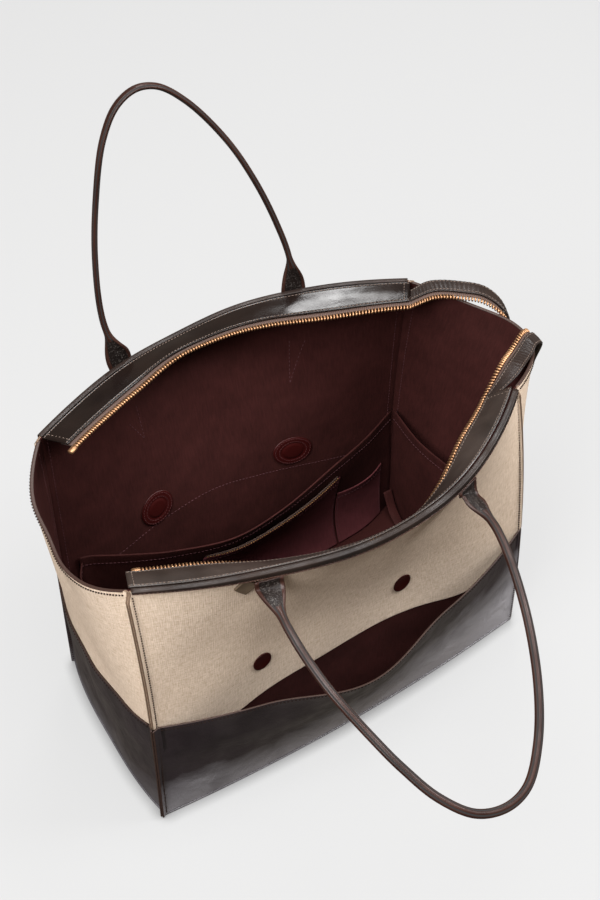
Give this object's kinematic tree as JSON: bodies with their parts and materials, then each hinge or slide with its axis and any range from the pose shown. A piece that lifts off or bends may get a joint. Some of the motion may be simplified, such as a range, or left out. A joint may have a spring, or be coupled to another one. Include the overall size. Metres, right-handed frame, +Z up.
{
  "type": "shopper bag",
  "caption": "Open-topped shopper bag with flaring canvas upper walls on leather lower walls, a bowed front slip pocket, rolled leather handles and an unzipped mouth.",
  "frame": {"origin": "middle of the flat base, on the surface that the bag stands on", "axes": "+X along the front towards the bag's right, -Y out of the front, +Z up"},
  "size_m": [0.5021, 0.5603, 0.5513],
  "materials": {
    "leather": "smooth polished dark brown leather",
    "trim": "rolled and folded dark brown leather with painted edges",
    "canvas": "plain-woven flecked canvas",
    "lining": "fine burgundy cloth",
    "tape": "woven zip tape",
    "brass": "polished brass zip teeth and stops",
    "patch": "dark red leather"
  },
  "bodies": {
    "root": {"base_panel": "leather", "front_leather": "leather", "right_leather": "leather", "back_leather": "leather", "left_leather": "leather", "front_collar": "leather", "back_collar": "leather", "front_wing": "leather", "back_wing": "leather", "zip_end": "leather", "rim_tab": "leather", "front_binding": "trim", "back_binding": "trim", "front_handle": "trim", "back_handle": "trim", "front_canvas": "canvas", "right_canvas": "canvas", "back_canvas": "canvas", "left_canvas": "canvas", "pocket_lining": "lining", "front_lining": "lining", "right_lining": "lining", "back_lining": "lining", "left_lining": "lining", "floor_lining": "lining", "inner_back": "lining", "inner_right": "lining", "inner_left": "lining", "zip_pocket": "lining", "slip_pocket": "lining", "key_strap": "lining", "front_zip_tape": "tape", "back_zip_tape": "tape", "front_zip_teeth": "brass", "back_zip_teeth": "brass", "front_zip_stop": "brass", "back_zip_stop": "brass", "pocket_zip": "brass", "left_dot": "patch", "right_dot": "patch", "left_patch": "patch", "right_patch": "patch"}
  },
  "joints": []
}
